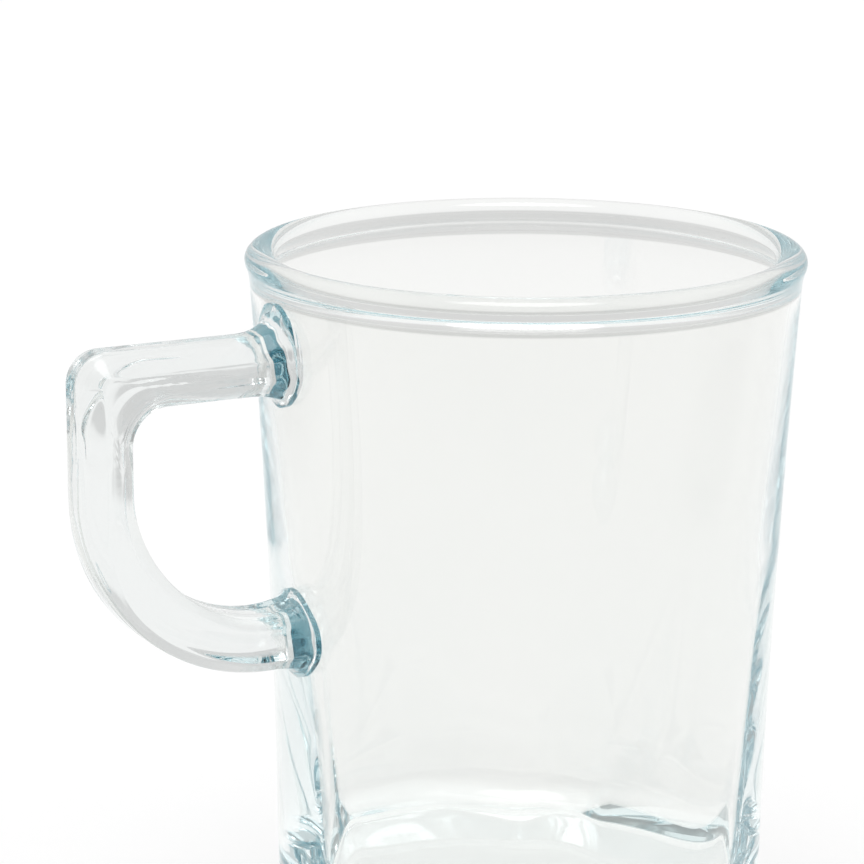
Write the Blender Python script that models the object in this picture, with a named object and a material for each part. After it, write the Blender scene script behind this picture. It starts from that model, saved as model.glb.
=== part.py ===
"""Clear glass coffee mug: a bell-sided cup on a six-sided foot, with a strap handle joined to its wall.

Metres, +Z up. The origin is on the cup's axis, on the table; the handle points along -X.
"""
import math

import bmesh
import bpy

# Cup, outside
HEIGHT = 0.104
RIM_RADIUS = 0.040
BEAD_WIDTH = 0.0044
BEAD_HEIGHT = 0.0038
BEAD_OVERHANG = 0.0006
BEAD_TURN = 216.0
WALL_FLARE = 0.0037
FLAT_COUNT = 6
FLAT_TURN = 8.0
FLAT_TOP = 0.063
FLAT_RECESS = 0.0029
TUCK_TOP = 0.018
TUCK_DEPTH = 0.0006
HEEL_RADIUS = 0.002

# Cup, inside
WALL_THICK = 0.0015
LIP_DEPTH = 0.0075
CAVITY_TAPER = 0.086
FLOOR_THICK = 0.0095
FLOOR_FILLET = 0.005

# Handle
HANDLE_DROP = 0.0089
HANDLE_REACH = 0.0700
LOWER_FOOT_DROP = 0.0525
STRAP_WIDTH = 0.0096
GRIP_DEPTH = 0.0081
ARM_DEPTH = 0.0083
OUTER_CHAMFER = 0.0031
INNER_CHAMFER = 0.0023
TAIL_OUTER_CHAMFER = 0.0016
TAIL_INNER_CHAMFER = 0.0015
OUTER_CORNER = 0.0046
INNER_CORNER = 0.0052
RIDGE_ROUND = 0.0008

# Handle feet, spread out where they were pressed onto the hot wall
PAD_EDGE = 0.0008
FOOT_FILLET = 0.005
FOOT_SPREAD = 0.0024
FOOT_WIDEN = 0.0014
UPPER_FOOT_RISE = 0.0040
PAD_CHAMFER = 0.0042

# The seam between handle and wall
SEAM_GAP = 0.0003

# Mesh fineness
CUP_SEGMENTS = 72
WALL_STEPS = 22
BEAD_STEPS = 16
LIP_STEPS = 6
CAVITY_STEPS = 10
FILLET_STEPS = 7
CORNER_STEPS = 8
BEND_STEPS = 14
STRAIGHT_STEPS = 3


def lerp(a, b, t):
    return a + (b - a) * t


def corner_radius(z):
    """The cup's outside where it is still round: a gentle bell, drawn in a little at the foot."""
    foot = RIM_RADIUS - BEAD_OVERHANG - WALL_FLARE
    climb = z / (HEIGHT - BEAD_HEIGHT)
    tuck = TUCK_DEPTH * max(0.0, 1.0 - z / TUCK_TOP) ** 2
    return foot + WALL_FLARE * climb ** 2 - tuck


def outside_radius(angle, z):
    """Round above FLAT_TOP; below it six flats recede and leave rounded corners.

    FLAT_TURN is the angle in degrees from the handle to the middle of the nearest flat.
    """
    corner = corner_radius(z)
    half = math.pi / FLAT_COUNT
    sharp = math.cos(half)
    flat = corner - FLAT_RECESS * max(0.0, 1.0 - z / FLAT_TOP)
    flat = max(flat, 1.02 * corner * sharp)
    rounding = (flat - corner * sharp) / (1.0 - sharp)
    centre = (flat - rounding) / sharp
    off_flat = abs((angle - math.radians(FLAT_TURN) + half) % (2.0 * half) - half)
    if flat * math.tan(off_flat) <= (flat - rounding) * math.tan(half):
        return flat / math.cos(off_flat)
    off_corner = half - off_flat
    side = centre * math.sin(off_corner)
    return centre * math.cos(off_corner) + math.sqrt(rounding ** 2 - side ** 2)


def cavity_radius(z):
    below_bead = HEIGHT - BEAD_HEIGHT - z
    return RIM_RADIUS - BEAD_OVERHANG - WALL_THICK - CAVITY_TAPER * below_bead


def cup_rings():
    """Rings of the cup from the middle of the base, up the outside, over the rim and down to the floor.

    Each is (radius, height), with a radius for every segment.
    """
    angles = [2.0 * math.pi * i / CUP_SEGMENTS for i in range(CUP_SEGMENTS)]
    rings = []
    for i in range(FILLET_STEPS + 1):
        turn = 0.5 * math.pi * i / FILLET_STEPS
        z = HEEL_RADIUS * (1.0 - math.cos(turn))
        inset = HEEL_RADIUS * (1.0 - math.sin(turn))
        rings.append(([outside_radius(a, z) - inset for a in angles], z))

    wall_top = HEIGHT - BEAD_HEIGHT
    for i in range(1, WALL_STEPS + 1):
        z = lerp(HEEL_RADIUS, wall_top, i / WALL_STEPS)
        rings.append(([outside_radius(a, z) for a in angles], z))

    middle = RIM_RADIUS - 0.5 * BEAD_WIDTH
    start = -math.acos(1.0 - BEAD_OVERHANG / (0.5 * BEAD_WIDTH))
    end = math.radians(BEAD_TURN)
    for i in range(BEAD_STEPS + 1):
        turn = lerp(start, end, i / BEAD_STEPS)
        radius = middle + 0.5 * BEAD_WIDTH * math.cos(turn)
        z = HEIGHT - 0.5 * BEAD_HEIGHT * (1.0 - math.sin(turn))
        rings.append(([radius] * CUP_SEGMENTS, z))

    lip_radius = rings[-1][0][0]
    lip_top = rings[-1][1]
    lip_end = HEIGHT - LIP_DEPTH
    for i in range(1, LIP_STEPS + 1):
        t = i / LIP_STEPS
        z = lerp(lip_top, lip_end, t)
        radius = lerp(lip_radius, cavity_radius(z), t * (2.0 - t))
        rings.append(([radius] * CUP_SEGMENTS, z))

    fillet_top = FLOOR_THICK + FLOOR_FILLET
    for i in range(1, CAVITY_STEPS + 1):
        z = lerp(lip_end, fillet_top, i / CAVITY_STEPS)
        rings.append(([cavity_radius(z)] * CUP_SEGMENTS, z))
    for i in range(1, FILLET_STEPS + 1):
        turn = 0.5 * math.pi * i / FILLET_STEPS
        z = fillet_top - FLOOR_FILLET * math.sin(turn)
        radius = cavity_radius(z) - FLOOR_FILLET * (1.0 - math.cos(turn))
        rings.append(([radius] * CUP_SEGMENTS, z))
    return angles, rings


def wall_reach(across, z):
    """How far out along the handle its foot meets the wall, seam included, at a sideways offset."""
    reach = corner_radius(z)
    for _ in range(8):
        angle = math.pi - math.atan2(across, reach)
        radius = outside_radius(angle, z) + SEAM_GAP
        reach = math.sqrt(radius ** 2 - across ** 2)
    return reach


def strap_section(outer, outer_in, inner, inner_in, half_width, chamfers, ridge):
    """One ring of the strap: an eight-sided section with eased ridges, as (reach, across, z).

    outer and inner are points (reach, z) on the two faces, outer_in and inner_in the points one
    chamfer deep behind them. The ring starts in the middle of the outer face.
    """
    outer_half = half_width - chamfers[0]
    inner_half = half_width - chamfers[1]
    side = [(outer, outer_half), (outer_in, half_width), (inner_in, half_width), (inner, inner_half)]
    corners = [(p[0], v, p[1]) for p, v in side]
    corners = corners + [(p[0], -v, p[1]) for p, v in reversed(side)]
    eased = []
    for k, corner in enumerate(corners):
        ends = []
        for other in (corners[k - 1], corners[(k + 1) % len(corners)]):
            length = math.dist(corner, other)
            step = min(ridge, 0.35 * length) / length
            ends.append([lerp(c, o, step) for c, o in zip(corner, other)])
        middle = [0.25 * a + 0.5 * c + 0.25 * b for a, c, b in zip(ends[0], corner, ends[1])]
        eased.append([ends[0], middle, ends[1]])
    outer_edge = eased[0][0]
    inner_edge = eased[3][2]
    ring = [[outer_edge[0], across * outer_edge[1], outer_edge[2]] for across in (0.0, 0.5)]
    for triple in eased[:4]:
        ring.extend(triple)
    ring.extend([inner_edge[0], across * inner_edge[1], inner_edge[2]] for across in (0.5, 0.0, -0.5))
    for triple in eased[4:]:
        ring.extend(triple)
    ring.append([outer_edge[0], -0.5 * outer_edge[1], outer_edge[2]])
    return ring


def foot_ring(z_outer, z_inner, spreads, chamfers, amount, depth):
    """A ring of a foot, spread by amount (0 to 1) and held at an even depth off the wall."""
    up = 1.0 if z_outer > z_inner else -1.0
    z_outer = z_outer + up * spreads[0] * amount
    z_inner = z_inner - up * spreads[1] * amount
    chamfers = [lerp(c, PAD_CHAMFER, amount) for c in chamfers]
    half_width = 0.5 * STRAP_WIDTH + FOOT_WIDEN * amount
    ring = strap_section(
        (0.0, z_outer), (0.0, z_outer - up * chamfers[0]),
        (0.0, z_inner), (0.0, z_inner + up * chamfers[1]),
        half_width, chamfers, RIDGE_ROUND + FOOT_SPREAD * amount,
    )
    return [(wall_reach(v, z) + depth, v, z) for _, v, z in ring]


def foot_rings(z_outer, z_inner, spreads, chamfers):
    """Rings of a foot from the wall out to the plain strap."""
    rings = [foot_ring(z_outer, z_inner, spreads, chamfers, 1.0, 0.0)]
    for i in range(FILLET_STEPS + 1):
        turn = 0.5 * math.pi * i / FILLET_STEPS
        depth = PAD_EDGE + FOOT_FILLET * (1.0 - math.cos(turn))
        rings.append(foot_ring(z_outer, z_inner, spreads, chamfers, 1.0 - math.sin(turn), depth))
    return rings


def strap_ring(outer, outer_normal, inner, inner_normal, chamfers):
    """A ring of the plain strap from its two faces, each a point (reach, z) with its outward normal."""
    outer_in = [p - chamfers[0] * n for p, n in zip(outer, outer_normal)]
    inner_in = [p - chamfers[1] * n for p, n in zip(inner, inner_normal)]
    return strap_section(outer, outer_in, inner, inner_in, 0.5 * STRAP_WIDTH, chamfers, RIDGE_ROUND)


def handle_rings():
    """Rings of the strap from the upper foot, along the arm, down the grip and round to the lower foot."""
    arm_top = HEIGHT - HANDLE_DROP
    arm_under = arm_top - ARM_DEPTH
    grip_inside = HANDLE_REACH - GRIP_DEPTH
    low_middle = HEIGHT - LOWER_FOOT_DROP
    low_under = low_middle - 0.5 * GRIP_DEPTH
    low_top = low_middle + 0.5 * GRIP_DEPTH
    foot_end = PAD_EDGE + FOOT_FILLET
    grip = (OUTER_CHAMFER, INNER_CHAMFER)
    tail = (TAIL_OUTER_CHAMFER, TAIL_INNER_CHAMFER)

    rings = foot_rings(arm_top, arm_under, (UPPER_FOOT_RISE, FOOT_SPREAD), grip)

    up, down, out, into = (0.0, 1.0), (0.0, -1.0), (1.0, 0.0), (-1.0, 0.0)
    arm_start = wall_reach(0.0, arm_top) + foot_end
    outer_turn = (HANDLE_REACH - OUTER_CORNER, arm_top - OUTER_CORNER)
    inner_turn = (grip_inside - INNER_CORNER, arm_under - INNER_CORNER)
    for i in range(1, STRAIGHT_STEPS):
        t = i / STRAIGHT_STEPS
        outer = (lerp(arm_start, outer_turn[0], t), arm_top)
        inner = (lerp(arm_start, inner_turn[0], t), arm_under)
        rings.append(strap_ring(outer, up, inner, down, grip))

    for i in range(CORNER_STEPS + 1):
        turn = 0.5 * math.pi * (1.0 - i / CORNER_STEPS)
        way = (math.cos(turn), math.sin(turn))
        outer = [c + OUTER_CORNER * w for c, w in zip(outer_turn, way)]
        inner = [c + INNER_CORNER * w for c, w in zip(inner_turn, way)]
        rings.append(strap_ring(outer, way, inner, [-w for w in way], grip))

    bend_start = wall_reach(0.0, low_middle) + foot_end
    bend_room = inner_turn[1] - low_middle + 0.5 * GRIP_DEPTH
    outer_bend = min(HANDLE_REACH - bend_start, 0.95 * bend_room)
    inner_bend = outer_bend - GRIP_DEPTH
    bend = (HANDLE_REACH - outer_bend, low_under + outer_bend)
    for i in range(1, STRAIGHT_STEPS):
        t = i / STRAIGHT_STEPS
        outer = (HANDLE_REACH, lerp(outer_turn[1], bend[1], t))
        inner = (grip_inside, lerp(inner_turn[1], bend[1], t))
        rings.append(strap_ring(outer, out, inner, into, grip))

    for i in range(BEND_STEPS + 1):
        turn = -0.5 * math.pi * i / BEND_STEPS
        way = (math.cos(turn), math.sin(turn))
        outer = [c + outer_bend * w for c, w in zip(bend, way)]
        inner = [c + inner_bend * w for c, w in zip(bend, way)]
        share = min(1.0, 2.0 * i / BEND_STEPS)
        share = share * share * (3.0 - 2.0 * share)
        chamfers = [lerp(g, t, share) for g, t in zip(grip, tail)]
        rings.append(strap_ring(outer, way, inner, [-w for w in way], chamfers))

    lower_foot = foot_rings(low_under, low_top, (FOOT_SPREAD, FOOT_SPREAD), tail)
    if bend[0] - bend_start < 0.5 * FOOT_FILLET:
        rings.pop()
    rings.extend(reversed(lower_foot))
    return rings


def add_ring(bm, points):
    return [bm.verts.new(p) for p in points]


def skin(bm, loops):
    """Bridge each loop of vertices to the next with quads."""
    for low, high in zip(loops, loops[1:]):
        count = len(low)
        for i in range(count):
            j = (i + 1) % count
            bm.faces.new((low[i], low[j], high[j], high[i]))


def cap_foot(bm, loop):
    """Close a foot with a grid that follows the wall, so that no flat face cuts into it."""
    count = len(loop)
    last = count // 2 - 2
    rows = [[loop[2], loop[1], loop[0], loop[-1], loop[-2]]]
    for k in range(3, last):
        row = [loop[k]]
        for share in (0.5, 0.0, -0.5):
            v = share * loop[k].co.y
            z = loop[k].co.z
            row.append(bm.verts.new((-wall_reach(v, z), v, z)))
        row.append(loop[count - k])
        rows.append(row)
    rows.append([loop[k] for k in range(last, last + 5)])
    for first, second in zip(rows, rows[1:]):
        for i in range(4):
            bm.faces.new((first[i], first[i + 1], second[i + 1], second[i]))


def finish(bm, name, material, sharp_angle):
    bmesh.ops.recalc_face_normals(bm, faces=bm.faces)
    mesh = bpy.data.meshes.new(name)
    bm.to_mesh(mesh)
    bm.free()
    mesh.materials.append(material)
    mesh.shade_smooth()
    mesh.set_sharp_from_angle(angle=math.radians(sharp_angle))
    part = bpy.data.objects.new(name, mesh)
    bpy.context.scene.collection.objects.link(part)
    return part


def glass(name):
    material = bpy.data.materials.new(name)
    material.use_nodes = True
    shader = material.node_tree.nodes["Principled BSDF"]
    shader.inputs["Base Color"].default_value = (0.93, 0.97, 0.97, 1.0)
    shader.inputs["Roughness"].default_value = 0.02
    shader.inputs["IOR"].default_value = 1.52
    shader.inputs["Transmission Weight"].default_value = 1.0
    return material


def make_cup():
    bm = bmesh.new()
    angles, rings = cup_rings()
    loops = []
    for radii, z in rings:
        points = [(r * math.cos(a), r * math.sin(a), z) for r, a in zip(radii, angles)]
        loops.append(add_ring(bm, points))
    skin(bm, loops)
    bm.faces.new(reversed(loops[0]))
    bm.faces.new(loops[-1])
    return finish(bm, "cup_body", glass("cup_glass"), 40.0)


def make_handle():
    bm = bmesh.new()
    loops = []
    for ring in handle_rings():
        loops.append(add_ring(bm, [(-reach, across, z) for reach, across, z in ring]))
    skin(bm, loops)
    cap_foot(bm, loops[0])
    cap_foot(bm, loops[-1])
    return finish(bm, "handle", glass("handle_glass"), 30.0)


for old in list(bpy.data.objects):
    bpy.data.objects.remove(old, do_unlink=True)

make_cup()
make_handle()
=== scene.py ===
"""Looks of the clear glass coffee mug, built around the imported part: cup and handle in real glass."""

import math

import bmesh
import bpy
from mathutils import Matrix, Vector


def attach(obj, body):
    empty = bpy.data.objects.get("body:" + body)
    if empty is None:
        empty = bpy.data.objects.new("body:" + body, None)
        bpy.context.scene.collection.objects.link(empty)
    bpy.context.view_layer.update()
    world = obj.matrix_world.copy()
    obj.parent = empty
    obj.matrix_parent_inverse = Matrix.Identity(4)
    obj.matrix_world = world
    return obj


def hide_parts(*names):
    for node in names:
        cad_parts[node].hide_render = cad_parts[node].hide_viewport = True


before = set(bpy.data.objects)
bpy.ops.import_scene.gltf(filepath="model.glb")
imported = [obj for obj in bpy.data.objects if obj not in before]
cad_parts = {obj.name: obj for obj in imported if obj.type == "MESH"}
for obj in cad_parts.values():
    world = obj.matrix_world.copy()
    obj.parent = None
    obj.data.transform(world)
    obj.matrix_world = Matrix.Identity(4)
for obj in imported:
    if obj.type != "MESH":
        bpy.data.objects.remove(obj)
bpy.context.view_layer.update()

# Cup, outside (metres, with turns in degrees)
HEIGHT = 0.104
RIM_RADIUS = 0.040
BEAD_WIDTH = 0.0044
BEAD_HEIGHT = 0.0038
BEAD_OVERHANG = 0.0006
BEAD_START = -20.0
BEAD_TURN = 228.0
BEAD_BLEND = 0.0022
WALL_FLARE = 0.0037
FLAT_COUNT = 6
FLAT_TURN = 8.0
FLAT_TOP = 0.063
FLAT_RECESS = 0.0029
TUCK_TOP = 0.018
TUCK_DEPTH = 0.0006
HEEL_RADIUS = 0.002

# Cup, inside
WALL_THICK = 0.0015
LIP_DEPTH = 0.0057
CAVITY_TAPER = 0.086
FLOOR_THICK = 0.0095
FLOOR_FILLET = 0.005

# Handle
HANDLE_DROP = 0.0089
HANDLE_REACH = 0.0700
LOWER_FOOT_DROP = 0.0525
STRAP_WIDTH = 0.0096
GRIP_DEPTH = 0.0081
ARM_DEPTH = 0.0083
OUTER_CHAMFER = 0.0031
INNER_CHAMFER = 0.0023
TAIL_OUTER_CHAMFER = 0.0016
TAIL_INNER_CHAMFER = 0.0015
OUTER_CORNER = 0.0046
INNER_CORNER = 0.0052
RIDGE_ROUND = 0.0005
PAD_EDGE = 0.0008
FOOT_FILLET = 0.005
FOOT_SPREAD = 0.0024
FOOT_WIDEN = 0.0014
UPPER_FOOT_RISE = 0.0040
PAD_CHAMFER = 0.0042

# Most of a face that the rounding of one ridge takes, and how much of the bend the chamfers change over
RIDGE_SHARE = 0.42
TAIL_SHARE = 0.5

# The fused seam: the handle's caps stand this far off the wall, and the wall's patches lie this deep
CAP_OFF = 0.000005
PATCH_DEPTH = 0.00003

# Mesh fineness
CUP_SEGMENTS = 180
WALL_STEPS = 64
BEAD_STEPS = 28
LIP_STEPS = 20
CAVITY_STEPS = 30
FILLET_STEPS = 12
CORNER_STEPS = 24
BEND_STEPS = 44
STRAIGHT_STEPS = 8
RIDGE_STEPS = 6
FACE_STEPS = 4
REACH_ROUNDS = 8
SHARP_ANGLE = 35.0

# Glass: colour drifts between two tints, and the thick parts soak up red
GLASS_IOR = 1.52
CUP_TINTS = ((0.935, 0.938, 0.925, 1.0), (0.95, 0.95, 0.938, 1.0))
# The handle's tints are darker than the cup's: painted shade, for the solid handle's greyer look
HANDLE_PAINTED_SHADE_TINTS = ((0.87, 0.875, 0.865, 1.0), (0.92, 0.922, 0.912, 1.0))
SOAK_COLOUR = (0.64, 0.84, 0.88, 1.0)
SOAK_DENSITY = 8.5
DRIFT_SCALE = 35.0
DRIFT_DETAIL = 3.0
ROUGH_MOST = 0.02
WAVE_DETAIL = 1.0

# The ripple in the cup's wall, and the streaks drawn out along the handle
RIPPLE_SCALE = 70.0
RIPPLE_DEPTH = 0.00002
GRAIN_LAYER = "grain"
GRAIN_STRETCH = 0.05
GRAIN_SCALE = 280.0
GRAIN_DEPTH = 0.0009

# Camera, matched to the photograph's rim (pixels of an 864 x 864 image)
IMAGE = 864.0
CAMERA_AZIMUTH = -29.5
CAMERA_ELEVATION = 10.7
CAMERA_DISTANCE = 0.5
CAMERA_ROLL = 0.5
SENSOR_WIDTH = 36.0
RIM_PIXEL = (524.0, 243.2)
PIXELS_PER_METRE = 7020.0

# Floor: white to the camera; to the glass its glow fades from near to far as painted falloff of light,
# dims in a patch of painted shade and holds a painted pool of light under the mug
FLOOR_SIZE = 6.0
FLOOR_GAP = 0.0003
FLOOR_ROUGH = 0.9
FLOOR_SHADE = 0.287
FLOOR_GLOW = 0.7
# Painted falloff of light: to the glass, the floor's glow dims with the distance from the mug
FLOOR_NEAR = 0.45
FLOOR_FAR = 0.9
FLOOR_PAINTED_FAR_DIM = 0.45
# A patch of painted shade in the floor's glow, to the left, seen only in the glass
PAINTED_SHADE_PLACE = (-0.27, 0.34, 0.0)
PAINTED_SHADE_CORE = 0.12
PAINTED_SHADE_EDGE = 0.22
PAINTED_SHADE_DIM = 0.5
MUG_PLACE = (0.0, 0.0, 0.0)
# A painted pool of light in the floor's glow under the mug, seen only in the glass
PAINTED_CAUSTIC_CORE = 0.032
PAINTED_CAUSTIC_EDGE = 0.06
PAINTED_CAUSTIC_GLOW = 0.25

# Room: a pale tent, brighter overhead, with a dim opening on the camera's side and a softbox above
TENT_SIDE = 0.73
TENT_TOP = 1.0
TENT_START = 0.45
TENT_FULL = 0.8
HOLE_DARK = 0.5
HOLE_START = 0.3
HOLE_FULL = 0.75
SOFTBOX = 3.0
SOFTBOX_LEAN = 0.2
SOFTBOX_START = 0.93
SOFTBOX_FULL = 0.975

# Light passes many walls before it has gone through the mug
LIGHT_BOUNCES = 128
SEAM_BOUNCES = 32

WHITE = (1.0, 1.0, 1.0, 1.0)
UP = Vector((0.0, 0.0, 1.0))
QUARTER_TURN = 0.5 * math.pi


def smooth_step(t):
    return t * t * (3.0 - 2.0 * t)


def lerp(a, b, t):
    return a + (b - a) * t


def corner_radius(z):
    """Outside radius of the cup at the corners between its flats."""
    foot = RIM_RADIUS - BEAD_OVERHANG - WALL_FLARE
    climb = z / (HEIGHT - BEAD_HEIGHT)
    tuck = TUCK_DEPTH * max(0.0, 1.0 - z / TUCK_TOP) ** 2
    return foot + WALL_FLARE * climb ** 2 - tuck


def outside_radius(angle, z):
    """Outside radius of the cup: flats joined by arcs, which grow into one circle at FLAT_TOP."""
    corner = corner_radius(z)
    half = math.pi / FLAT_COUNT
    sharp = math.cos(half)
    flat = corner - FLAT_RECESS * max(0.0, 1.0 - z / FLAT_TOP)
    rounding = (flat - corner * sharp) / (1.0 - sharp)
    centre = (flat - rounding) / sharp
    off_flat = abs((angle - math.radians(FLAT_TURN) + half) % (2.0 * half) - half)
    if flat * math.tan(off_flat) <= (flat - rounding) * math.tan(half):
        return flat / math.cos(off_flat)
    off_corner = half - off_flat
    side = centre * math.sin(off_corner)
    return centre * math.cos(off_corner) + math.sqrt(rounding ** 2 - side ** 2)


def cavity_radius(z):
    below_bead = HEIGHT - BEAD_HEIGHT - z
    return RIM_RADIUS - BEAD_OVERHANG - WALL_THICK - CAVITY_TAPER * below_bead


def bead_point(turn):
    """Radius and height on the bead's oval section, at a turn that counts from straight out."""
    middle = RIM_RADIUS - 0.5 * BEAD_WIDTH
    radius = middle + 0.5 * BEAD_WIDTH * math.cos(turn)
    return radius, HEIGHT - 0.5 * BEAD_HEIGHT * (1.0 - math.sin(turn))


def outer_rings(angles):
    """Heel, wall and the soft curve under the bead as (radii, z), from the table upwards."""
    rings = []
    for i in range(FILLET_STEPS + 1):
        turn = QUARTER_TURN * i / FILLET_STEPS
        z = HEEL_RADIUS * (1.0 - math.cos(turn))
        inset = HEEL_RADIUS * (1.0 - math.sin(turn))
        rings.append(([outside_radius(a, z) - inset for a in angles], z))
    bead_radius, bead_foot = bead_point(math.radians(BEAD_START))
    wall_top = bead_foot - BEAD_BLEND
    for i in range(1, WALL_STEPS + 1):
        z = lerp(HEEL_RADIUS, wall_top, i / WALL_STEPS)
        rings.append(([outside_radius(a, z) for a in angles], z))
    for i in range(1, LIP_STEPS):
        z = lerp(wall_top, bead_foot, i / LIP_STEPS)
        swell = (i / LIP_STEPS) ** 2
        rings.append(([lerp(outside_radius(a, z), bead_radius, swell) for a in angles], z))
    return rings


def inner_profile():
    """Bead, lip, cavity and floor fillet as (radius, z), over the rim and down to the cup's floor."""
    start, end = math.radians(BEAD_START), math.radians(BEAD_TURN)
    profile = [bead_point(lerp(start, end, i / BEAD_STEPS)) for i in range(BEAD_STEPS + 1)]

    lip_radius, lip_top = profile[-1]
    lip_end = HEIGHT - LIP_DEPTH
    for i in range(1, LIP_STEPS + 1):
        t = i / LIP_STEPS
        z = lerp(lip_top, lip_end, t)
        profile.append((lerp(lip_radius, cavity_radius(z), t * (2.0 - t)), z))

    fillet_top = FLOOR_THICK + FLOOR_FILLET
    for i in range(1, CAVITY_STEPS + 1):
        z = lerp(lip_end, fillet_top, i / CAVITY_STEPS)
        profile.append((cavity_radius(z), z))
    for i in range(1, FILLET_STEPS + 1):
        turn = QUARTER_TURN * i / FILLET_STEPS
        z = fillet_top - FLOOR_FILLET * math.sin(turn)
        profile.append((cavity_radius(z) - FLOOR_FILLET * (1.0 - math.cos(turn)), z))
    return profile


def wall_reach(across, z, gap):
    """How far the wall, plus a gap, reaches towards the handle at a place across the strap."""
    reach = corner_radius(z)
    for _ in range(REACH_ROUNDS):
        angle = math.pi - math.atan2(across, reach)
        radius = outside_radius(angle, z) + gap
        reach = math.sqrt(radius ** 2 - across ** 2)
    return reach


def strap_section(faces, chamfers, half_width, ridge):
    """One ring of the strap, an eight-sided section with rounded ridges, as (reach, across, z).

    faces gives a point (reach, z) and the way out of the glass for the outer and the inner face.
    """
    (outer, outer_way), (inner, inner_way) = faces
    side = [
        (outer, half_width - chamfers[0]),
        ([p - chamfers[0] * w for p, w in zip(outer, outer_way)], half_width),
        ([p - chamfers[1] * w for p, w in zip(inner, inner_way)], half_width),
        (inner, half_width - chamfers[1]),
    ]
    corners = [Vector((p[0], v, p[1])) for p, v in side]
    corners = corners + [Vector((p[0], -v, p[1])) for p, v in reversed(side)]
    eased = []
    for k, corner in enumerate(corners):
        ends = []
        for other in (corners[k - 1], corners[(k + 1) % len(corners)]):
            length = (other - corner).length
            ends.append(corner.lerp(other, min(ridge, RIDGE_SHARE * length) / length))
        curve = []
        for i in range(RIDGE_STEPS + 1):
            t = i / RIDGE_STEPS
            curve.append(ends[0].lerp(corner, t).lerp(corner.lerp(ends[1], t), t))
        eased.append(curve)

    ring = []
    half = len(corners) // 2
    for first in (0, half):
        for curve in eased[first:first + half]:
            ring.extend(curve)
        face_start = eased[first + half - 1][-1]
        face_end = eased[(first + half) % len(eased)][0]
        for i in range(1, FACE_STEPS):
            ring.append(face_start.lerp(face_end, i / FACE_STEPS))
    return ring


def foot_ring(z_outer, z_inner, spreads, chamfers, amount, depth, gap):
    """A ring that follows the wall at a depth off it, spread from the strap (0) to the pad (1)."""
    up = 1.0 if z_outer > z_inner else -1.0
    outer = (0.0, z_outer + up * spreads[0] * amount)
    inner = (0.0, z_inner - up * spreads[1] * amount)
    faces = ((outer, (0.0, up)), (inner, (0.0, -up)))
    chamfers = [lerp(c, PAD_CHAMFER, amount) for c in chamfers]
    half_width = 0.5 * STRAP_WIDTH + FOOT_WIDEN * amount
    ring = strap_section(faces, chamfers, half_width, RIDGE_ROUND + FOOT_SPREAD * amount)
    return [Vector((wall_reach(p.y, p.z, gap) + depth, p.y, p.z)) for p in ring]


def foot_rings(z_outer, z_inner, spreads, chamfers, gap):
    """The pad on the wall and the fillet that leads from it to the strap."""
    rings = [foot_ring(z_outer, z_inner, spreads, chamfers, 1.0, 0.0, gap)]
    for i in range(FILLET_STEPS + 1):
        turn = QUARTER_TURN * i / FILLET_STEPS
        depth = PAD_EDGE + FOOT_FILLET * (1.0 - math.cos(turn))
        amount = 1.0 - math.sin(turn)
        rings.append(foot_ring(z_outer, z_inner, spreads, chamfers, amount, depth, gap))
    return rings


def strap_ring(outer, inner, way, chamfers):
    faces = ((outer, way), (inner, [-w for w in way]))
    return strap_section(faces, chamfers, 0.5 * STRAP_WIDTH, RIDGE_ROUND)


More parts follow.
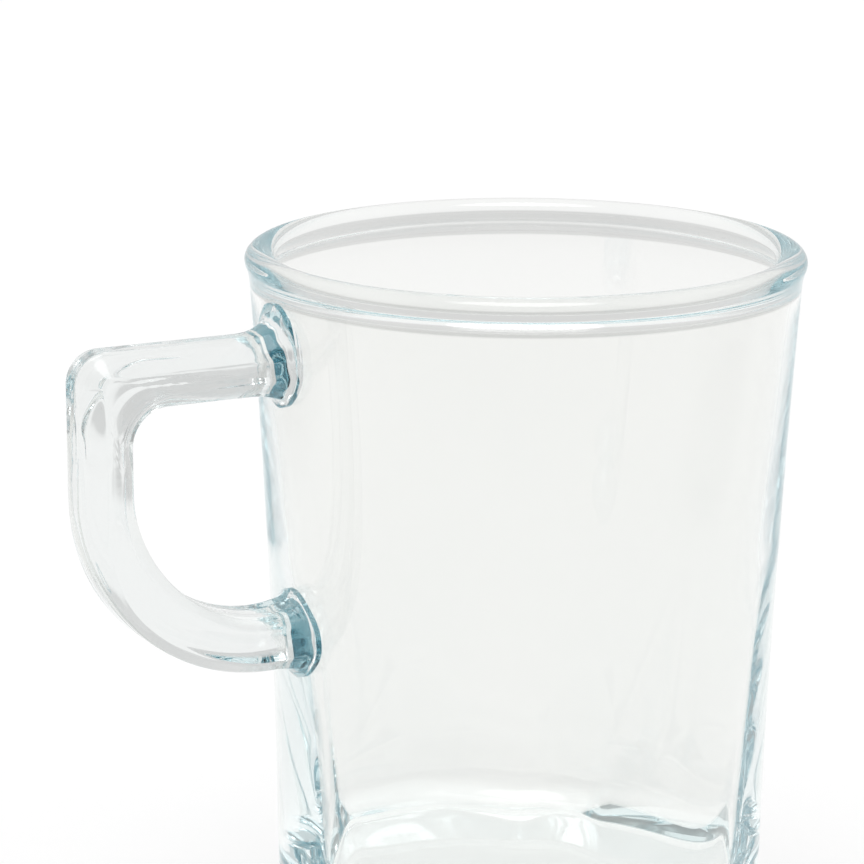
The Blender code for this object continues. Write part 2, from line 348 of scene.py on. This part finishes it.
def handle_rings(gap):
    """Rings from the upper foot along the arm, down the grip and round the bend to the lower foot."""
    arm_top = HEIGHT - HANDLE_DROP
    arm_under = arm_top - ARM_DEPTH
    grip_inside = HANDLE_REACH - GRIP_DEPTH
    low_middle = HEIGHT - LOWER_FOOT_DROP
    low_under = low_middle - 0.5 * GRIP_DEPTH
    low_top = low_middle + 0.5 * GRIP_DEPTH
    foot_end = PAD_EDGE + FOOT_FILLET
    grip = (OUTER_CHAMFER, INNER_CHAMFER)
    tail = (TAIL_OUTER_CHAMFER, TAIL_INNER_CHAMFER)
    rings = foot_rings(arm_top, arm_under, (UPPER_FOOT_RISE, FOOT_SPREAD), grip, gap)

    arm_start = wall_reach(0.0, arm_top, gap) + foot_end
    outer_turn = (HANDLE_REACH - OUTER_CORNER, arm_top - OUTER_CORNER)
    inner_turn = (grip_inside - INNER_CORNER, arm_under - INNER_CORNER)
    for i in range(1, STRAIGHT_STEPS):
        t = i / STRAIGHT_STEPS
        outer = (lerp(arm_start, outer_turn[0], t), arm_top)
        inner = (lerp(arm_start, inner_turn[0], t), arm_under)
        rings.append(strap_ring(outer, inner, (0.0, 1.0), grip))
    for i in range(CORNER_STEPS + 1):
        turn = QUARTER_TURN * (1.0 - i / CORNER_STEPS)
        way = (math.cos(turn), math.sin(turn))
        outer = [c + OUTER_CORNER * w for c, w in zip(outer_turn, way)]
        inner = [c + INNER_CORNER * w for c, w in zip(inner_turn, way)]
        rings.append(strap_ring(outer, inner, way, grip))

    bend_start = wall_reach(0.0, low_middle, gap) + foot_end
    outer_bend = HANDLE_REACH - bend_start
    inner_bend = outer_bend - GRIP_DEPTH
    bend = (bend_start, low_under + outer_bend)
    for i in range(1, STRAIGHT_STEPS):
        t = i / STRAIGHT_STEPS
        outer = (HANDLE_REACH, lerp(outer_turn[1], bend[1], t))
        inner = (grip_inside, lerp(inner_turn[1], bend[1], t))
        rings.append(strap_ring(outer, inner, (1.0, 0.0), grip))
    for i in range(BEND_STEPS):
        turn = -QUARTER_TURN * i / BEND_STEPS
        way = (math.cos(turn), math.sin(turn))
        outer = [c + outer_bend * w for c, w in zip(bend, way)]
        inner = [c + inner_bend * w for c, w in zip(bend, way)]
        share = smooth_step(min(1.0, i / (TAIL_SHARE * BEND_STEPS)))
        chamfers = [lerp(g, t, share) for g, t in zip(grip, tail)]
        rings.append(strap_ring(outer, inner, way, chamfers))
    lower = foot_rings(low_under, low_top, (FOOT_SPREAD, FOOT_SPREAD), tail, gap)
    rings.extend(reversed(lower))
    return rings


def skin(bm, loops):
    for low, high in zip(loops, loops[1:]):
        count = len(low)
        for i in range(count):
            j = (i + 1) % count
            bm.faces.new((low[i], low[j], high[j], high[i]))


def cap_foot(bm, loop, gap):
    """Close a foot with a grid that follows the wall; its faces take the seam's material."""
    half = len(loop) // 2
    side = half - (FACE_STEPS - 1)
    right = loop[:side]
    under = loop[side:half]
    left = loop[half:half + side][::-1]
    over = loop[half + side:][::-1]
    rows = [[right[0]] + over + [left[0]]]
    for a, b in zip(right[1:-1], left[1:-1]):
        row = [a]
        for i in range(1, FACE_STEPS):
            v = lerp(a.co.y, b.co.y, i / FACE_STEPS)
            row.append(bm.verts.new((-wall_reach(v, a.co.z, gap), v, a.co.z)))
        rows.append(row + [b])
    rows.append([right[-1]] + under + [left[-1]])
    for first, second in zip(rows, rows[1:]):
        for i in range(FACE_STEPS):
            face = bm.faces.new((first[i], first[i + 1], second[i + 1], second[i]))
            face.material_index = 1


def new_piece(bm, name, materials):
    bmesh.ops.recalc_face_normals(bm, faces=bm.faces)
    mesh = bpy.data.meshes.new(name)
    bm.to_mesh(mesh)
    bm.free()
    for material in materials:
        mesh.materials.append(material)
    mesh.shade_smooth()
    piece = bpy.data.objects.new(name, mesh)
    bpy.context.scene.collection.objects.link(piece)
    return piece


def make_handle(name, gap, materials):
    """The strap as one skin, whose grain layer holds each point's place in it, drawn out lengthwise."""
    bm = bmesh.new()
    grain = bm.verts.layers.float_vector.new(GRAIN_LAYER)
    loops = []
    along = 0.0
    last = None
    for ring in handle_rings(gap):
        middle = sum(ring, Vector()) / len(ring)
        out = ring[0] - middle
        out.y = 0.0
        out.normalize()
        along += (middle - last).length if last else 0.0
        last = middle
        loop = [bm.verts.new((-p.x, p.y, p.z)) for p in ring]
        for vert, p in zip(loop, ring):
            vert[grain] = (GRAIN_STRETCH * along, p.y, (p - middle).dot(out))
        loops.append(loop)
    skin(bm, loops)
    cap_foot(bm, loops[0], gap)
    cap_foot(bm, loops[-1], gap)
    return new_piece(bm, name, materials)


def plain_cup(materials):
    """The cup as one skin, turned half a step to keep its columns off the handle's middle plane."""
    angles = [2.0 * math.pi * (i + 0.5) / CUP_SEGMENTS for i in range(CUP_SEGMENTS)]
    rings = outer_rings(angles)
    rings.extend(([radius] * CUP_SEGMENTS, z) for radius, z in inner_profile())
    bm = bmesh.new()
    loops = []
    for radii, z in rings:
        points = [(r * math.cos(a), r * math.sin(a), z) for r, a in zip(radii, angles)]
        loops.append([bm.verts.new(p) for p in points])
    skin(bm, loops)
    bm.faces.new(reversed(loops[0]))
    bm.faces.new(loops[-1])
    return new_piece(bm, "glass_cup", materials)


def make_cup(materials):
    """The cup, with the handle's two footprints cut a hair deep into its wall as seam patches."""
    cup = plain_cup(materials)
    stamp = make_handle("stamp", -PATCH_DEPTH, materials)
    cut = cup.modifiers.new("seam", "BOOLEAN")
    cut.operation = "DIFFERENCE"
    cut.solver = "EXACT"
    cut.object = stamp
    bpy.context.view_layer.update()
    graph = bpy.context.evaluated_depsgraph_get()
    cut_mesh = bpy.data.meshes.new_from_object(cup.evaluated_get(graph))
    cup.modifiers.clear()
    cup.data = cut_mesh
    bpy.data.objects.remove(stamp, do_unlink=True)
    return cup


def noise(tree, vector, scale, detail):
    node = tree.nodes.new("ShaderNodeTexNoise")
    node.inputs["Scale"].default_value = scale
    node.inputs["Detail"].default_value = detail
    tree.links.new(vector, node.inputs["Vector"])
    return node.outputs["Fac"]


def glass(name, tints, layer, wave_scale, wave_depth):
    """Clear glass: faint drift of tint and roughness, and a wavy skin.

    The waves follow the mesh layer of that name, or the object's own space where layer is None.
    """
    material = bpy.data.materials.new(name)
    material.use_nodes = True
    tree = material.node_tree
    shader = tree.nodes["Principled BSDF"]
    shader.inputs["Transmission Weight"].default_value = 1.0
    shader.inputs["IOR"].default_value = GLASS_IOR
    place = tree.nodes.new("ShaderNodeTexCoord").outputs["Object"]

    drift = noise(tree, place, DRIFT_SCALE, DRIFT_DETAIL)
    tint = tree.nodes.new("ShaderNodeMix")
    tint.data_type = "RGBA"
    tint.inputs["A"].default_value = tints[0]
    tint.inputs["B"].default_value = tints[1]
    tree.links.new(drift, tint.inputs["Factor"])
    tree.links.new(tint.outputs["Result"], shader.inputs["Base Color"])
    rough = tree.nodes.new("ShaderNodeMapRange")
    rough.inputs["To Max"].default_value = ROUGH_MOST
    tree.links.new(drift, rough.inputs["Value"])
    tree.links.new(rough.outputs["Result"], shader.inputs["Roughness"])

    if layer:
        grain = tree.nodes.new("ShaderNodeAttribute")
        grain.attribute_name = layer
        place = grain.outputs["Vector"]
    wave = tree.nodes.new("ShaderNodeBump")
    wave.inputs["Strength"].default_value = 1.0
    wave.inputs["Distance"].default_value = wave_depth
    tree.links.new(noise(tree, place, wave_scale, WAVE_DETAIL), wave.inputs["Height"])
    tree.links.new(wave.outputs["Normal"], shader.inputs["Normal"])

    soak = tree.nodes.new("ShaderNodeVolumeAbsorption")
    soak.inputs["Color"].default_value = SOAK_COLOUR
    soak.inputs["Density"].default_value = SOAK_DENSITY
    tree.links.new(soak.outputs["Volume"], tree.nodes["Material Output"].inputs["Volume"])
    return material


def seam_glass():
    """Inside the fused seam there is no surface: light goes straight on from cup to handle."""
    material = bpy.data.materials.new("fused_seam")
    material.use_nodes = True
    tree = material.node_tree
    clear = tree.nodes.new("ShaderNodeBsdfTransparent")
    tree.links.new(clear.outputs["BSDF"], tree.nodes["Material Output"].inputs["Surface"])
    return material


def ease(tree, source, start, end, low, high):
    """A smooth change from low to high while source goes from start to end."""
    node = tree.nodes.new("ShaderNodeMapRange")
    node.interpolation_type = "SMOOTHSTEP"
    node.inputs["From Min"].default_value = start
    node.inputs["From Max"].default_value = end
    node.inputs["To Min"].default_value = low
    node.inputs["To Max"].default_value = high
    tree.links.new(source, node.inputs["Value"])
    return node.outputs["Result"]


def combine(tree, operation, first, second):
    """Two sockets, or a socket and a plain number, put together by one operation."""
    node = tree.nodes.new("ShaderNodeMath")
    node.operation = operation
    tree.links.new(first, node.inputs[0])
    if isinstance(second, float):
        node.inputs[1].default_value = second
    else:
        tree.links.new(second, node.inputs[1])
    return node.outputs["Value"]


def measure(tree, operation, source, other):
    """A number from a vector socket and a fixed vector: their distance or their dot product."""
    node = tree.nodes.new("ShaderNodeVectorMath")
    node.operation = operation
    node.inputs[1].default_value = other
    tree.links.new(source, node.inputs[0])
    return node.outputs["Value"]


def floor_glow(tree):
    """Strength of the floor's glow: even to the camera, uneven in the glass's mirrored and bent views.

    In those it fades with the distance as painted falloff of light, dims in a patch of painted shade to
    the left, and holds a painted pool of light under the mug, which stands in for the light real glass
    gathers on the table.
    """
    place = tree.nodes.new("ShaderNodeTexCoord").outputs["Object"]
    away = measure(tree, "DISTANCE", place, MUG_PLACE)
    from_painted_shade = measure(tree, "DISTANCE", place, PAINTED_SHADE_PLACE)
    # painted falloff of light with the distance from the mug
    painted_falloff = ease(tree, away, FLOOR_NEAR, FLOOR_FAR, FLOOR_GLOW, FLOOR_PAINTED_FAR_DIM)
    # painted shade: a dim patch in the floor's glow to the left
    painted_shade = ease(tree, from_painted_shade, PAINTED_SHADE_CORE, PAINTED_SHADE_EDGE, PAINTED_SHADE_DIM, 1.0)
    # painted pool of light under the mug, in place of the glass's caustic
    painted_caustic = ease(tree, away, PAINTED_CAUSTIC_CORE, PAINTED_CAUSTIC_EDGE, PAINTED_CAUSTIC_GLOW, 0.0)
    in_glass = combine(tree, "ADD", combine(tree, "MULTIPLY", painted_falloff, painted_shade), painted_caustic)

    path = tree.nodes.new("ShaderNodeLightPath").outputs
    through = combine(tree, "MAXIMUM", path["Is Glossy Ray"], path["Is Transmission Ray"])
    through = combine(tree, "MULTIPLY", through, in_glass)
    direct = combine(tree, "MULTIPLY", path["Is Camera Ray"], FLOOR_GLOW)
    return combine(tree, "MAXIMUM", through, direct)


def make_floor():
    """A pale table under the mug, which keeps the mug's shadow and is white to the camera."""
    material = bpy.data.materials.new("studio_floor")
    material.use_nodes = True
    tree = material.node_tree
    shader = tree.nodes["Principled BSDF"]
    shader.inputs["Base Color"].default_value = (FLOOR_SHADE, FLOOR_SHADE, FLOOR_SHADE, 1.0)
    shader.inputs["Roughness"].default_value = FLOOR_ROUGH
    shader.inputs["Specular IOR Level"].default_value = 0.0
    shader.inputs["Emission Color"].default_value = WHITE
    tree.links.new(floor_glow(tree), shader.inputs["Emission Strength"])
    bm = bmesh.new()
    bmesh.ops.create_grid(bm, x_segments=1, y_segments=1, size=FLOOR_SIZE)
    floor = new_piece(bm, "floor", [material])
    floor.location.z = -FLOOR_GAP


def make_world(back):
    """White to the camera. For the glass: softbox overhead, dim low down and on the camera's side."""
    world = bpy.data.worlds.new("studio")
    bpy.context.scene.world = world
    world.use_nodes = True
    tree = world.node_tree
    room = tree.nodes["Background"]
    room.inputs["Color"].default_value = WHITE
    way = tree.nodes.new("ShaderNodeTexCoord").outputs["Generated"]
    above = (UP + SOFTBOX_LEAN * back).normalized()
    to_top = measure(tree, "DOT_PRODUCT", way, UP)
    to_back = measure(tree, "DOT_PRODUCT", way, back)
    to_box = measure(tree, "DOT_PRODUCT", way, above)
    tent = ease(tree, to_top, TENT_START, TENT_FULL, TENT_SIDE, TENT_TOP)
    hole = ease(tree, to_back, HOLE_START, HOLE_FULL, 1.0, HOLE_DARK)
    box = ease(tree, to_box, SOFTBOX_START, SOFTBOX_FULL, 0.0, SOFTBOX)
    light = combine(tree, "ADD", combine(tree, "MULTIPLY", tent, hole), box)
    path = tree.nodes.new("ShaderNodeLightPath")
    seen = tree.nodes.new("ShaderNodeMix")
    seen.inputs["B"].default_value = 1.0
    tree.links.new(path.outputs["Is Camera Ray"], seen.inputs["Factor"])
    tree.links.new(light, seen.inputs["A"])
    tree.links.new(seen.outputs["Result"], room.inputs["Strength"])


def make_camera():
    """The photograph's camera, turned to put the rim at its pixel. Returns the level way towards it."""
    azimuth = math.radians(CAMERA_AZIMUTH)
    elevation = math.radians(CAMERA_ELEVATION)
    level = Vector((math.sin(azimuth), -math.cos(azimuth), 0.0))
    back = level * math.cos(elevation) + UP * math.sin(elevation)
    focal = PIXELS_PER_METRE * CAMERA_DISTANCE
    lens = bpy.data.cameras.new("camera")
    lens.sensor_width = SENSOR_WIDTH
    lens.lens = focal * SENSOR_WIDTH / IMAGE
    camera = bpy.data.objects.new("camera", lens)
    bpy.context.scene.collection.objects.link(camera)
    turn = (-back).to_track_quat("-Z", "Y").to_matrix()
    turn = turn @ Matrix.Rotation(math.atan((RIM_PIXEL[0] - 0.5 * IMAGE) / focal), 3, "Y")
    turn = turn @ Matrix.Rotation(math.atan((RIM_PIXEL[1] - 0.5 * IMAGE) / focal), 3, "X")
    turn = turn @ Matrix.Rotation(math.radians(CAMERA_ROLL), 3, "Z")
    place = UP * HEIGHT + back * CAMERA_DISTANCE
    camera.matrix_world = Matrix.Translation(place) @ turn.to_4x4()
    bpy.context.scene.camera = camera
    return level


cup_glass = glass("cup_glass_clear", CUP_TINTS, None, RIPPLE_SCALE, RIPPLE_DEPTH)
handle_glass = glass("handle_glass_clear", HANDLE_PAINTED_SHADE_TINTS, GRAIN_LAYER, GRAIN_SCALE, GRAIN_DEPTH)
seam = seam_glass()
cup = make_cup([cup_glass, seam])
handle = make_handle("glass_handle", CAP_OFF, [handle_glass, seam])
for piece, node, slot in ((cup, "cup_body", "cup_glass"), (handle, "handle", "handle_glass")):
    piece.data.set_sharp_from_angle(angle=math.radians(SHARP_ANGLE))
    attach(piece, "root")
    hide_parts(node)

make_floor()
make_world(make_camera())
scene = bpy.context.scene
scene.view_settings.view_transform = "Standard"
scene.cycles.max_bounces = LIGHT_BOUNCES
scene.cycles.transmission_bounces = LIGHT_BOUNCES
scene.cycles.glossy_bounces = LIGHT_BOUNCES
scene.cycles.transparent_max_bounces = SEAM_BOUNCES
